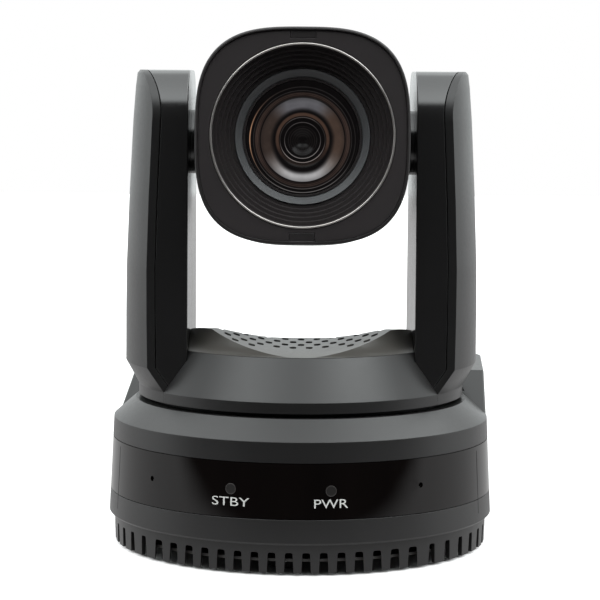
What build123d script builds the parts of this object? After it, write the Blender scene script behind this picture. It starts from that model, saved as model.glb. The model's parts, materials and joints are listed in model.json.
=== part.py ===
from build123d import *
import os
from math import pi, sin, cos, tan, acos, atan, radians, sqrt

# Pan-tilt-zoom conference camera, in millimetres. The origin is on the pan axis in the plane of
# the feet, +Z is up and the lens looks along -Y. The base is drawn square to its own front and
# turned by BASE_YAW; the head is drawn level about the tilt axis and tipped by HEAD_UP.
# Each piece is a function named after its STEP file.

# ---------------------------------------------------------------- driving dimensions
BASE_YAW = -5.6                     # rest angle of the base under the yoke, degrees
HEAD_UP = 4.4                       # rest angle of the head above level, degrees
WALL = 2.5                          # wall of shell, arms, deck and head
BIG = 200                           # reach of clipping solids

# base
SKIRT_Z0, SKIRT_Z1 = 1.0, 13.0      # vented skirt
SKIRT_R0, SKIRT_R1 = 81.4, 81.8
SLOT_PITCH, SLOT_TOP, SLOT_BOTTOM, SLOT_Z1 = 7.09, 3.1, 4.1, 9.6
DRUM_R, DRUM_Z0 = 84.0, 13.9        # widest part of the drum
SHOULDER_R, SHOULDER_Z = 82.0, 55.2
LIP_R, LIP_Z = 72.6, 63.4
DRUM_BACK = 55                      # where the round part gives way to the squared rear
WINDOW_Z0, WINDOW_Z1, WINDOW_HALF = 23.5, 46.8, 94.0
REAR_Y = 80.0                       # flat rear of the base
REAR_W, REAR_TAPER = 81.9, 0.058    # half width of the squared rear at Y 0, its closing rate
TURN_R = 67.5                       # opening the turntable sits in
HUMP_R = 75.0                       # scooped wall of the rear hump

# yoke
RING_R, RING_Z0, RING_Z1 = 71.1, 65.2, 69.7   # lower ring
DECK_R, DECK_Z = 61.0, 87.2
ARM_IN, ARM_TOP, ARM_CORNER = 48.1, 205.7, 21.5
ARM_Y, ARM_YZ, ARM_LEAN = 41.0, 75.0, 0.02936   # arm half depth at height ARM_YZ, its lean
# outer face of the arms: (radius about the pan axis, height)
ARM_PROFILE = [(RING_R, RING_Z0), (RING_R, RING_Z1), (76.8, 80.0), (76.75, 100.0),
               (76.5, 122.0), (75.35, 151.0), (73.65, 184.0), (72.5, 199.0),
               (71.8, 204.4), (70.4, 206.0)]
COVER_T = 2.85                      # arm side cover thickness

# head
TILT_Z = 174.7
HUB_R = 13.9
HEAD_A, HEAD_B, HEAD_POWER = 44.6, 45.0, 3.08   # rounded-square section of the head
HEAD_Y0, HEAD_Y1, HEAD_SPLIT = -55.0, 62.0, 40.0

# drives
GEAR_MODULE, GEAR_TEETH, PINION_TEETH = 1.2, 60, 15
GEAR_CENTRES = GEAR_MODULE * (GEAR_TEETH + PINION_TEETH) / 2
PULLEY_R, MOTOR_PULLEY_R, TILT_MOTOR_Z = 16.0, 5.0, 118.0

BASE = Rot(0, 0, BASE_YAW)
YOKE = Location()
HEAD = Pos(0, 0, TILT_Z) * Rot(-HEAD_UP, 0, 0)
QUARTERS = (0, 90, 180, 270)
DIAGONALS = (45, 135, 225, 315)
SIDES = (-1, 1)


# ---------------------------------------------------------------- helpers
def rev(pts, arc=360):
    """Profile of (radius, z) turned about Z."""
    return revolve(make_face(Polyline(*[(r, 0, z) for r, z in pts], close=True)), Axis.Z, arc)


def yrev(pts):
    """Profile of (radius, y) turned about Y."""
    return revolve(make_face(Polyline(*[(r, y, 0) for r, y in pts], close=True)), Axis.Y, 360)


def cyl(r, z0, z1, x=0, y=0):
    return Pos(x, y, (z0 + z1) / 2) * Cylinder(r, z1 - z0)


def xcyl(r, x0, x1, y=0, z=0):
    return Pos((x0 + x1) / 2, y, z) * Rot(0, 90, 0) * Cylinder(r, abs(x1 - x0))


def ycyl(r, y0, y1, x=0, z=0):
    return Pos(x, (y0 + y1) / 2, z) * Rot(90, 0, 0) * Cylinder(r, y1 - y0)


def tube(outer, inner, z0, z1):
    return cyl(outer, z0, z1) - cyl(inner, z0 - 1, z1 + 1)


def box(x0, x1, y0, y1, z0, z1):
    size = Box(abs(x1 - x0), y1 - y0, abs(z1 - z0))
    return Pos((x0 + x1) / 2, (y0 + y1) / 2, (z0 + z1) / 2) * size


def ahead_of(y):
    """Everything in front of the given Y."""
    return box(-BIG, BIG, -BIG, y, -BIG, BIG)


def polar(r, deg):
    return r * cos(radians(deg)), r * sin(radians(deg))


def around(r, angles):
    return [polar(r, a) for a in angles]


def prism_yz(pts, x0, x1):
    face = make_face(Polyline(*[(x0, y, z) for y, z in pts], close=True))
    return extrude(face, amount=x1 - x0, dir=(1, 0, 0))


def try_fillet(shape, edges, radii):
    """First radius the kernel accepts; the shape stays sharp if it accepts none."""
    for r in radii:
        try:
            return fillet(edges, r)
        except Exception:
            continue
    return shape


def save(part, place):
    shape = part()
    items = shape if isinstance(shape, (list, tuple)) else [shape]
    solids = [s for item in items for s in (place * item).solids()]
    out = solids[0] if len(solids) == 1 else Compound(children=list(solids))
    export_step(out, f"parts/{part.__name__}.step")


# ================================================================= BASE
PLATE_Z0, PLATE_Z1 = 5.6, 6.8
CHASSIS_Z0, CHASSIS_Z1 = 17.0, 19.0
BOARD_Z0, BOARD_Z1 = 24.0, 25.6
CORE_BACK = 52                      # rear limit of the round part of plate and tray cavity
SCREWS = around(70, [30 + 60 * k for k in range(6)])
FEET = around(60, QUARTERS)
BRACKET_BOSSES = around(38, DIAGONALS)


def rear_block(inset, z0, z1):
    """Squared rear half of the base; its sides close in towards the back."""
    y1 = REAR_Y - inset
    w0, w1 = REAR_W - inset, REAR_W - REAR_TAPER * y1 - inset
    outline = Polyline((-w0, 0, z0), (w0, 0, z0), (w1, y1, z0), (-w1, y1, z0), close=True)
    block = extrude(make_face(outline), amount=z1 - z0, dir=(0, 0, 1))
    corners = [e for e in block.edges().filter_by(Axis.Z) if e.center().Y > y1 - 1]
    return fillet(corners, max(4.5 - inset * 0.5, 1.5))


def skirt_slots():
    bottom, top = SLOT_BOTTOM / 2, SLOT_TOP / 2
    bevel = 0.5
    pts = [(-bottom, -1.0), (bottom, -1.0), (top, SLOT_Z1 - bevel), (top - bevel, SLOT_Z1),
           (-top + bevel, SLOT_Z1), (-top, SLOT_Z1 - bevel)]
    face = make_face(Polyline(*[(x, -95, z) for x, z in pts], close=True))
    slot = extrude(face, amount=45, dir=(0, 1, 0))
    slots = []
    for k in range(16):             # straight rows, front and rear
        row = Pos((k - 7.5) * SLOT_PITCH, 0, 0) * slot
        slots.append(row)
        slots.append(Rot(0, 0, 180) * row)
    for k in range(6):              # fans at the front corners, rows along the squared sides
        for s in SIDES:
            slots.append(Rot(0, 0, s * (48.2 + 6.95 * k)) * slot)
            slots.append(Rot(0, 0, s * 90) * Pos(s * (13.0 + 8.6 * k), 0, 0) * slot)
    return slots


def bottom_tray():
    skirt = rev([(0, SKIRT_Z0), (SKIRT_R0, SKIRT_Z0), (SKIRT_R1, SKIRT_Z1), (0, SKIRT_Z1)])
    floor_z = 11.0                  # underside of the floor
    tray = (skirt & ahead_of(DRUM_BACK)) + rear_block(2.2, SKIRT_Z0, SKIRT_Z1)
    tray -= (cyl(79.6, 0, floor_z) & ahead_of(CORE_BACK)) + rear_block(4.4, 0, floor_z)
    tray -= cyl(12.5, 10, 14)
    for x, y in BRACKET_BOSSES:
        tray -= cyl(5.0, 10, 14, x, y)
    tray += tube(80.9, 79.0, SKIRT_Z1, CHASSIS_Z0) & ahead_of(50)
    tray -= skirt_slots()
    for x, y in SCREWS:
        tray += cyl(3.6, PLATE_Z1, 11.5, x, y)
        tray -= cyl(1.5, 6, 12.2, x, y)
    for x, y in FEET:               # posts under the chassis plate
        tray += cyl(4.0, 12.5, CHASSIS_Z0, x, y)
    for k in range(-3, 4):          # floor vents
        for y0, y1 in ((20, 52), (-52, -20)):
            tray -= box(k * 9 - 1.5, k * 9 + 1.5, y0, y1, 10, 14)
    return tray


def metal_bottom_plate():
    # tripod boss in the middle, four bracket bosses round it
    plate = cyl(79.3, PLATE_Z0, PLATE_Z1) & ahead_of(CORE_BACK)
    plate += rear_block(4.8, PLATE_Z0, PLATE_Z1)
    plate += cyl(10.0, 0.0, 10.6)
    plate -= cyl(2.55, -1, 9.5)
    for x, y in BRACKET_BOSSES:
        plate += cyl(4.0, 1.0, 10.4, x, y)
        plate -= cyl(1.65, 0, 9.4, x, y)
    for x, y in SCREWS:
        plate -= cyl(1.7, 5, 7.5, x, y)
    return plate


def rubber_feet():
    foot = cyl(7.0, 0.0, PLATE_Z0) - tube(8, 6.2, -0.2, 0.5)
    return [Pos(x, y, 0) * foot for x, y in FEET]


def base_screws():
    screw = cyl(2.8, 4.0, PLATE_Z0)
    screw -= box(-1.8, 1.8, -0.3, 0.3, 3.9, 4.6)
    screw -= box(-0.3, 0.3, -1.8, 1.8, 3.9, 4.6)
    screw += cyl(1.45, 5.5, 11.8)
    return [Pos(x, y, 0) * screw for x, y in SCREWS]


# --- shell: drum, sloping shoulder, squared rear hump scooped out round the yoke
LIGHT_Z, LIGHT_ANGLES, MIC_ANGLES, IR_ANGLES = 35.4, (-14.4, 14.4), (-42.6, 42.6), (0, -60, 60)


def drum_r(z):
    return DRUM_R - (z - DRUM_Z0) * (DRUM_R - SHOULDER_R) / (SHOULDER_Z - DRUM_Z0)


def shell_drum(inset):
    z0, foot_r = (SKIRT_Z1 - 2, 81.3) if inset else (SKIRT_Z1, 83.2)
    drum = rev([(0, z0), (foot_r, z0), (DRUM_R - inset, DRUM_Z0),
                (SHOULDER_R - inset, SHOULDER_Z - inset * 0.6),
                (LIP_R - inset * 0.2, LIP_Z - inset), (0, LIP_Z - inset)])
    return drum & box(-BIG, BIG, -BIG, DRUM_BACK - inset, 0, 100)


def shell_hump(inset):
    z0 = SKIRT_Z1 - 2 if inset else SKIRT_Z1
    knee_y, knee_z, rear_rise = 38, 71.2, 0.062
    slope_drop = inset / cos(radians(27.5))
    roof = [(-1, z0 - 5), (-1, 51.0 - slope_drop),
            (knee_y + 0.45 * inset, knee_z - inset * 0.9),
            (BIG, knee_z + (BIG - knee_y) * rear_rise - inset), (BIG, z0 - 5)]
    hump = rear_block(inset, z0, 90) & prism_yz(roof, -BIG, BIG) & box(-BIG, BIG, 0, BIG, 0, 100)
    if inset:
        return hump
    rim = [e for e in hump.edges()
           if e.center().Z > 55 and (abs(e.center().X) > 70 or e.center().Y > 72)
           and e.bounding_box().size.Z < 20 and e.center().Y > 3]
    return try_fillet(hump, rim, (0.8, 0.6, 0.4))


def window_band(z0, z1, depth, half_angle, proud=0):
    """Band round the front of the drum, from proud outside its face to depth inside it."""
    pts = [(drum_r(z0) + proud, z0), (drum_r(z1) + proud, z1),
           (drum_r(z1) - depth, z1), (drum_r(z0) - depth, z0)]
    return Rot(0, 0, -90 - half_angle) * rev(pts, 2 * half_angle)


def radial(shape, deg):
    """Shape drawn along +X, lifted to the light row and turned to an angle from the front."""
    return Pos(0, 0, LIGHT_Z) * Rot(0, 0, -90 + deg) * shape


def radial_holes(r, angles):
    return [radial(xcyl(r, 70, 90), a) for a in angles]


def base_shell():
    shell = shell_drum(0) + shell_hump(0)
    shell -= cyl(HUMP_R, LIP_Z, 100)
    shell -= shell_drum(WALL)
    shell -= shell_hump(WALL) - cyl(HUMP_R + WALL, LIP_Z - WALL, 100)
    shell -= cyl(TURN_R, 50, 70)
    shell -= window_band(WINDOW_Z0, WINDOW_Z1, 1.3, WINDOW_HALF + 0.1, proud=3)
    for r, angles in ((2.3, LIGHT_ANGLES), (1.1, MIC_ANGLES), (4.0, IR_ANGLES)):
        for hole in radial_holes(r, angles):
            shell -= hole
    return shell - box(-62, 62, 70, 90, 18.0, 57.0)      # rear opening for the connector panel


def front_window():
    gap = 0.3
    window = window_band(WINDOW_Z0 + gap, WINDOW_Z1 - gap, 1.2, WINDOW_HALF)
    for hole in radial_holes(2.15, LIGHT_ANGLES) + radial_holes(1.1, MIC_ANGLES):
        window -= hole
    return window


def led_light_pipes():
    pipe = xcyl(2.1, 76.0, 82.9) + xcyl(3.2, 74.8, 76.2)
    return [radial(pipe, a) for a in LIGHT_ANGLES]


def microphones():
    return [radial(xcyl(3.0, 76.4, 79.4), a) for a in MIC_ANGLES]


def ir_receivers():
    dome = Pos(77.2, 0, 0) * Sphere(2.2) & box(76, 80, -3, 3, -3, 3)
    receiver = box(74.6, 77.2, -3.0, 3.0, -4.0, 4.0) + dome
    return [radial(receiver, a) for a in IR_ANGLES]


# --- chassis plate and boards
def chassis_plate():
    plate = cyl(76.0, CHASSIS_Z0, CHASSIS_Z1) & ahead_of(50)
    plate += rear_block(7.0, CHASSIS_Z0, CHASSIS_Z1)
    plate -= cyl(8.0, 16, 20)
    for x in (-56, 56):             # board posts
        for y in (28, 68):
            plate += cyl(2.6, 18.5, BOARD_Z0, x, y)
    plate += box(-12, 12, -69.8, -67.6, 18.5, 30.0)
    for k in range(-2, 3):
        for x0, x1 in ((-55, -30), (30, 55)):
            plate -= box(x0, x1, k * 9 - 2, k * 9 + 2, 16, 20)
    return plate


# components on the main board: centre x, centre y, width, depth, height
COMPONENTS = [(-36, 34, 16, 16, 2.2), (8, 32, 12, 12, 1.6), (36, 36, 20, 14, 6.0),
              (-8, 46, 8, 8, 1.4), (-52, 48, 7, 10, 8.0)]


def main_board():
    board = box(-62, 62, 23, 74.5, BOARD_Z0, BOARD_Z1)
    for x, y, w, d, h in COMPONENTS:
        board += box(x - w / 2, x + w / 2, y - d / 2, y + d / 2, BOARD_Z1 - 0.1, BOARD_Z1 + h)
    return board


def front_board():
    return box(-30, 30, -71.5, -69.9, BOARD_Z0, 47.0) + box(-8, 8, -70.0, -67.0, 34.0, 38.0)


# --- rear connector panel and its connectors, which stand on the main board
CONNECTOR_Y1 = 75.5                 # rear of the connector bodies
POWER_X, POWER_Z = -50, BOARD_Z1 + 6.5
LAN_X0, LAN_X1, LAN_H = -42.3, -25.7, 13.7
HDMI_X0, HDMI_X1, HDMI_H = -13.8, 1.8, 6.0
SDI_X, SDI_Z = 22, BOARD_Z1 + 8.0
SERIAL_X, SERIAL_Z = (38, 53), BOARD_Z1 + 7.5


def rear_panel():
    gap = 0.2
    panel = box(-66, 66, 75.6, 76.8, 17.3, 60.0)
    panel -= ycyl(5.6, 70, 80, POWER_X, POWER_Z)
    for x0, x1, h in ((LAN_X0, LAN_X1, LAN_H), (HDMI_X0, HDMI_X1, HDMI_H)):
        panel -= box(x0 - gap, x1 + gap, 70, 80, BOARD_Z1 - gap, BOARD_Z1 + h + gap)
    panel -= ycyl(6.4, 70, 80, SDI_X, SDI_Z)
    for x in SERIAL_X:
        panel -= ycyl(6.4, 70, 80, x, SERIAL_Z)
    for k in range(12):
        x = -44 + 8 * k
        panel -= box(x - 1.3, x + 1.3, 70, 80, 46.0, 56.0)
    return panel


def power_jack():
    jack = box(POWER_X - 6, POWER_X + 6, 63, CONNECTOR_Y1, BOARD_Z1, BOARD_Z1 + 11.5)
    jack += ycyl(5.4, 75.0, 78.6, POWER_X, POWER_Z)
    jack -= ycyl(3.1, 68, 80, POWER_X, POWER_Z)
    return jack + ycyl(1.0, 66, 77.6, POWER_X, POWER_Z)


def lan_connector():
    jack = box(LAN_X0, LAN_X1, 60, 78.2, BOARD_Z1, BOARD_Z1 + LAN_H)
    jack -= box(-40, -28, 66, 80, BOARD_Z1 + 3, BOARD_Z1 + 10.6)
    return jack - box(-37, -31, 66, 80, BOARD_Z1 + 10.5, BOARD_Z1 + 12.6)


def hdmi_connector():
    jack = box(HDMI_X0, HDMI_X1, 64, 78.6, BOARD_Z1, BOARD_Z1 + HDMI_H)
    jack -= box(HDMI_X0 + 0.8, HDMI_X1 - 0.8, 66, 80, BOARD_Z1 + 0.8, BOARD_Z1 + 5.3)
    return jack + box(-11.5, -0.5, 65.5, 78.0, BOARD_Z1 + 2.6, BOARD_Z1 + 3.8)


def sdi_connector():
    pin = ycyl(0.9, 77, 86.0, SDI_X, SDI_Z)
    jack = box(SDI_X - 6.5, SDI_X + 6.5, 62, CONNECTOR_Y1, BOARD_Z1, BOARD_Z1 + 14.0)
    jack += ycyl(6.2, 75.0, 77.6, SDI_X, SDI_Z)
    jack += ycyl(4.8, 77.0, 87.0, SDI_X, SDI_Z)
    jack -= ycyl(3.4, 78, 88, SDI_X, SDI_Z)
    jack += pin
    jack += xcyl(1.0, SDI_X - 6, SDI_X + 6, 83.5, SDI_Z)       # bayonet lugs
    jack -= ycyl(3.4, 78.5, 85.2, SDI_X, SDI_Z)                # clears the lug bar from the bore
    return jack + pin


def serial_connectors():
    jacks = []
    for x in SERIAL_X:
        jack = box(x - 6.6, x + 6.6, 64, CONNECTOR_Y1, BOARD_Z1, BOARD_Z1 + 13.6)
        jack += ycyl(6.2, 75.0, 78.2, x, SERIAL_Z)
        jack -= ycyl(4.8, 70, 80, x, SERIAL_Z)
        jack += box(x - 1.2, x + 1.2, 69, 77.0, BOARD_Z1 + 5.0, BOARD_Z1 + 6.4)
        jacks.append(jack)
    return jacks


# --- pan bearings
BEARING_R, SHAFT_R = 15.0, 10.0
BALL_CIRCLE, BALL_R = (BEARING_R + SHAFT_R) / 2, 2.0
BEARINGS = ((20.0, 27.0), (39.0, 46.0))      # bottom and top of each bearing


def pan_bearing_housing():
    housing = tube(20.0, BEARING_R, CHASSIS_Z1, 47.0) + tube(27.0, BEARING_R, CHASSIS_Z1, 22.0)
    return housing - [cyl(1.7, 18, 23, x, y) for x, y in around(23.5, QUARTERS)]


def races(outer, inner):
    groove = Torus(BALL_CIRCLE, BALL_R + 0.05)
    return [tube(outer, inner, z0, z1) - Pos(0, 0, (z0 + z1) / 2) * groove
            for z0, z1 in BEARINGS]


def pan_bearing_outer_races():
    return races(BEARING_R, 13.2)


def pan_bearing_inner_races():
    return races(11.8, SHAFT_R)


def pan_bearing_balls():
    return [Pos(*polar(BALL_CIRCLE, 36 * k), (z0 + z1) / 2) * Sphere(BALL_R)
            for z0, z1 in BEARINGS for k in range(10)]


# --- pan motor (square stepper) and gear pair, in front of the bearing tower
MOTOR_ANGLE = -90 + BASE_YAW
MOTOR_X, MOTOR_Y = polar(GEAR_CENTRES, MOTOR_ANGLE)


def pan_motor():
    can = extrude(Plane.XY.offset(CHASSIS_Z1) * RectangleRounded(35, 35, 3), amount=24.0)
    motor = can + cyl(11.0, 42.5, 45.0) - cyl(2.7, 30, 50)
    return Pos(MOTOR_X, MOTOR_Y, 0) * Rot(0, 0, BASE_YAW) * motor


def gear_face(teeth):
    """Involute spur gear outline with a tooth centred on +X."""
    addendum, dedendum, thinning, pressure = 0.85, 1.25, 0.12, radians(20)
    pitch_r = GEAR_MODULE * teeth / 2
    base_r = pitch_r * cos(pressure)
    tip_r, root_r = pitch_r + addendum * GEAR_MODULE, pitch_r - dedendum * GEAR_MODULE
    half_pitch_tooth = (pi * GEAR_MODULE / 2 - thinning) / (2 * pitch_r)

    def involute(t):
        return tan(t) - t

    def half_tooth(r):
        t = 0.0 if r <= base_r else acos(base_r / r)
        return half_pitch_tooth + involute(pressure) - involute(t)

    low = max(base_r, root_r)
    flank = [(r, half_tooth(r)) for r in [low + (tip_r - low) * k / 4 for k in range(5)]]
    if root_r < low:                # radial run below the base circle
        flank = [(root_r, half_tooth(low))] + flank
    pts = []
    for k in range(teeth):
        centre = 2 * pi * k / teeth
        tooth = [(r, centre - half) for r, half in flank]
        tooth += [(r, centre + half) for r, half in reversed(flank)]
        pts += [(r * cos(t), r * sin(t)) for r, t in tooth]
    return make_face(Polyline(*pts, close=True))


def pan_pinion():
    pinion = extrude(Plane.XY.offset(49.0) * gear_face(PINION_TEETH), amount=7.0)
    pinion = pinion + cyl(6.8, 46.2, 49.0) + cyl(2.5, 31.0, 56.5)
    return Pos(MOTOR_X, MOTOR_Y, 0) * Rot(0, 0, MOTOR_ANGLE + 180) * pinion


def pan_gear():
    gear = extrude(Plane.XY.offset(50.0) * gear_face(GEAR_TEETH), amount=5.0)
    gear += cyl(16.0, 47.4, 50.0)
    gear -= cyl(SHAFT_R, 40, 60)
    for k in range(6):
        gear -= Rot(0, 0, 60 * k) * cyl(5.5, 45, 60, 25, 0)
    # half a tooth round, so that a gap meets the pinion tooth
    return Rot(0, 0, MOTOR_ANGLE + 180 / GEAR_TEETH) * gear


# ================================================================= YOKE
YOKE_SCREWS = [(sx * 40, sy * 20) for sx in SIDES for sy in SIDES]
UPRIGHT_X0, UPRIGHT_X1 = 58.0, 60.0
FRAME_Z1 = 67.7                     # top of the frame floor
TABLE_Z0 = 58.0                     # underside of the turntable


def pan_shaft():
    return tube(SHAFT_R, 7.0, 19.6, TABLE_Z0) + tube(24.0, 7.0, 55.0, TABLE_Z0)


def turntable():
    table = tube(66.0, 8.0, 62.2, RING_Z0)
    table += tube(66.0, 63.2, TABLE_Z0, 62.5)
    table += tube(26.0, 8.0, TABLE_Z0, 62.5)
    for k in range(8):
        table += Rot(0, 0, 45 * k + 22.5) * box(25, 64, -1.2, 1.2, 59.5, 62.5)
    for x, y in YOKE_SCREWS:
        table -= cyl(1.6, 57, 66, x, y)
    return table


def yoke_frame():
    # U frame: floor plate and two uprights that carry the tilt bushings
    frame = box(-60, 60, -30, 30, RING_Z0, FRAME_Z1) - cyl(9.0, 60, 70)
    for s in SIDES:
        x0, x1 = s * UPRIGHT_X0, s * UPRIGHT_X1
        frame += box(x0, x1, -14, 14, 67.5, TILT_Z) + xcyl(14.0, x0, x1, 0, TILT_Z)
        for r, z in ((9.0, TILT_Z), (5.0, 92), (5.0, 148)):
            frame -= xcyl(r, s * 55, s * 65, 0, z)
    frame -= xcyl(3.2, 55, 65, 0, TILT_MOTOR_Z)
    for x, y in YOKE_SCREWS:
        frame -= cyl(1.7, 60, 70, x, y)
    return frame


def yoke_screws():
    return [cyl(3.0, FRAME_Z1, 69.7, x, y) - cyl(1.3, 68.6, 70, x, y) + cyl(1.5, 60.0, 67.8, x, y)
            for x, y in YOKE_SCREWS]


# --- arms: a slab whose front and rear faces lean towards each other, with rounded top corners
# and an outer face turned about the pan axis
def arm_y(z, inset=0.0):
    return ARM_Y - (z - ARM_YZ) * ARM_LEAN - inset / cos(atan(ARM_LEAN))


def arm_slab(inset, x0, x1, z0):
    top, r, lean = ARM_TOP - inset, ARM_CORNER - inset, atan(ARM_LEAN)
    zc = top - r                    # corner arc centre
    yc = arm_y(zc, inset) - r / cos(lean)
    mid = pi / 4 + lean / 2
    side_y, side_z = yc + r * cos(lean), zc + r * sin(lean)
    mid_y, mid_z = yc + r * sin(mid), zc + r * cos(mid)
    foot_y = arm_y(z0, inset)
    edges = [
        Line((x0, -foot_y, z0), (x0, -side_y, side_z)),
        ThreePointArc((x0, -side_y, side_z), (x0, -mid_y, mid_z), (x0, -yc, top)),
        Line((x0, -yc, top), (x0, yc, top)),
        ThreePointArc((x0, yc, top), (x0, mid_y, mid_z), (x0, side_y, side_z)),
        Line((x0, side_y, side_z), (x0, foot_y, z0)),
        Line((x0, foot_y, z0), (x0, -foot_y, z0))]
    return extrude(make_face(Wire(edges)), amount=x1 - x0, dir=(1, 0, 0))


def arm_rev(inset):
    """Turned envelope of the arms; an inset one runs past both ends."""
    pts = [(r - inset, z) for r, z in ARM_PROFILE]
    if inset:
        pts = [(pts[0][0], pts[0][1] - 1)] + pts[:-2] + [(pts[-2][0], ARM_TOP + 2)]
    return rev([(0, pts[0][1])] + pts + [(0, pts[-1][1])])


def arm_housing_right():
    slab = arm_slab(0, ARM_IN, 90, RING_Z0)
    inner_edges = [e for e in slab.edges()
                   if abs(e.center().X - ARM_IN) < 1e-3 and e.center().Z > 70]
    slab = try_fillet(slab, inner_edges, (0.6,))
    body = slab & arm_rev(COVER_T + 0.45)
    body -= arm_slab(WALL, ARM_IN + WALL, 95, 50)
    body += xcyl(HUB_R, 46.6, ARM_IN + 0.5, 0, TILT_Z)
    body -= xcyl(5.25, 40, 55, 0, TILT_Z)
    body -= box(47, 52, -31, 31, 60, 68.0)       # room for the frame floor
    return body - box(45, 55, -5, 5, 72.0, 85.5)


def arm_housing_left():
    return mirror(arm_housing_right(), about=Plane.YZ)


def arm_cover_right():
    cover = arm_slab(0, ARM_IN, 90, RING_Z0) & arm_rev(0)
    return cover - arm_rev(COVER_T)


def arm_cover_left():
    return mirror(arm_cover_right(), about=Plane.YZ)


# --- lower front and rear covers: conical skirt ahead of and behind the arms
LEDGE = DECK_Z - WALL
DECK_HALF_X = ARM_IN - 0.15
SKIRT_IN_R = 68.3                   # inside of the conical skirt at the ring
REAR_FALL, FALL_Y = 0.125, 14.0     # the top falls to the rear behind FALL_Y


def beyond(sign):
    """Everything past the front (-1) or rear (1) faces of the arms, 0.1 clear."""
    return prism_yz([(sign * (arm_y(50) + 0.1), 50), (sign * (arm_y(100) + 0.1), 100),
                     (sign * BIG, 100), (sign * BIG, 50)], -BIG, BIG)


def under_top(drop):
    """Everything below the deck top lowered by drop."""
    rear_z = DECK_Z - (100 - FALL_Y) * REAR_FALL
    return prism_yz([(-BIG, 40), (-BIG, DECK_Z - drop), (FALL_Y, DECK_Z - drop),
                     (100, rear_z - drop), (100, 40)], -BIG, BIG)


def yoke_front_cover():
    cone = rev([(RING_R, RING_Z0), (RING_R, RING_Z1), (DECK_R, DECK_Z), (DECK_R - 0.1, LEDGE),
                (58.5, LEDGE), (58.5, LEDGE - 2.2), (60.85, LEDGE - 2.3),
                (SKIRT_IN_R, RING_Z1), (SKIRT_IN_R, RING_Z0)])
    return cone & (beyond(-1) + box(-DECK_HALF_X, DECK_HALF_X, -BIG, -25, 50, 100))


def yoke_rear_cover():
    outer = rev([(0, RING_Z0), (RING_R, RING_Z0), (RING_R, RING_Z1), (DECK_R, DECK_Z),
                 (0, DECK_Z)])
    inner = rev([(0, RING_Z0 - 1), (SKIRT_IN_R, RING_Z0 - 1), (SKIRT_IN_R, RING_Z1),
                 (58.2, DECK_Z), (0, DECK_Z)])
    return (outer & beyond(1) & under_top(0)) - (inner & under_top(WALL))


# --- deck between the arms: flat band, a ridge by each arm with a wide trough between, vents
TROUGH_R, TROUGH_Z = 88.0, DECK_Z - 0.1
PEAK = DECK_Z + 8.5
# rise of the ridges from the deck rim inwards: (radius, height)
RAMP = [(60.4, DECK_Z), (58.0, DECK_Z + 0.35), (55.6, DECK_Z + 1.15), (53.4, DECK_Z + 2.5),
        (51.6, DECK_Z + 4.3), (50.1, DECK_Z + 6.4), (48.8, PEAK)]
# fall of the ridges to the rear: (y, height)
BACK = [(-28.0, PEAK), (-22.0, 95.3), (-15.0, 94.2), (-8.0, 92.6), (-1.0, 90.6), (6.0, 88.7),
        (13.5, DECK_Z)]
VENT_PITCH, VENT_ROW_Y0, VENT_ROW_PITCH = 7.0, -35.0, 10.5
# vent places in each row from front to rear, in pitches either side of the middle
VENT_ROWS = [(3, 4), (0.5, 1.5, 2.5, 3.5, 4.5), (0, 1, 2, 3, 4, 5), (0.5, 1.5, 2.5, 3.5),
             (0, 1, 2), (0.5, 1.5)]


def deck_crown():
    ramp = [(r, 0, z) for r, z in RAMP]
    low_z = 85.5
    wire = Wire([Line((0, 0, low_z), (60.4, 0, low_z)), Line((60.4, 0, low_z), ramp[0]),
                 Spline(*ramp, tangents=[(-1, 0, 0.05), (-1, 0, 1.8)]),
                 Line(ramp[-1], (0, 0, PEAK)), Line((0, 0, PEAK), (0, 0, low_z))])
    return revolve(make_face(wire), Axis.Z)


def under_back(drop, x):
    """Everything below the ridge fall lowered by drop, out to +-x."""
    fall = [(-x, y, z - drop) for y, z in BACK]
    y0, y1, low_z = -61, BACK[-1][0], 82
    edges = [Line((-x, y0, low_z), (-x, y0, PEAK - drop)), Line((-x, y0, PEAK - drop), fall[0]),
             Spline(*fall, tangents=[(0, 1, 0.0), (0, 1, -0.12)]),
             Line(fall[-1], (-x, y1, low_z)), Line((-x, y1, low_z), (-x, y0, low_z))]
    return extrude(make_face(Wire(edges)), amount=2 * x, dir=(1, 0, 0))


def trough(extra):
    return ycyl(TROUGH_R + extra, -62, 60, 0, TROUGH_Z + TROUGH_R)


def deck_cover():
    band = cyl(DECK_R - 0.5, 80, DECK_Z) & box(-DECK_HALF_X, DECK_HALF_X, -BIG, 40.2, 0, 100)
    flat = (band & under_top(0)) - under_top(WALL)
    deck = flat + ((deck_crown() & under_back(0.0, DECK_HALF_X)) - trough(0))
    hollow = cyl(46.4, LEDGE - 2, 100) & under_back(2.3, DECK_HALF_X - 2) & ahead_of(8)
    deck = deck - (hollow - trough(2.4))
    vents = []
    for row, places in enumerate(VENT_ROWS):
        y = VENT_ROW_Y0 + VENT_ROW_PITCH * row
        for c in places:
            for s in (SIDES if c else (1,)):
                vent = extrude(SlotOverall(6.8, 2.9, rotation=90), amount=25)
                vents.append(Pos(s * c * VENT_PITCH, y, 80) * vent)
    return deck - vents


# --- tilt drive in the right arm (+X), with a bushing in each upright
PULLEY_X0 = 51.4                    # inner face of both pulleys


def tilt_bushings():
    return [xcyl(9.0, s * 57.2, s * 63.0, 0, TILT_Z) + xcyl(10.5, s * 57.0, s * 58.0, 0, TILT_Z)
            - xcyl(5.05, -70, 70, 0, TILT_Z) for s in SIDES]


def tilt_motor():
    motor = box(UPRIGHT_X1, 69.5, -14, 14, TILT_MOTOR_Z - 14, TILT_MOTOR_Z + 14)
    motor = chamfer(motor.edges().filter_by(Axis.X), 3.0)
    return (motor + xcyl(3.1, 58.2, 60.2, 0, TILT_MOTOR_Z)
            - xcyl(2.1, 50, 68.5, 0, TILT_MOTOR_Z))


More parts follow.
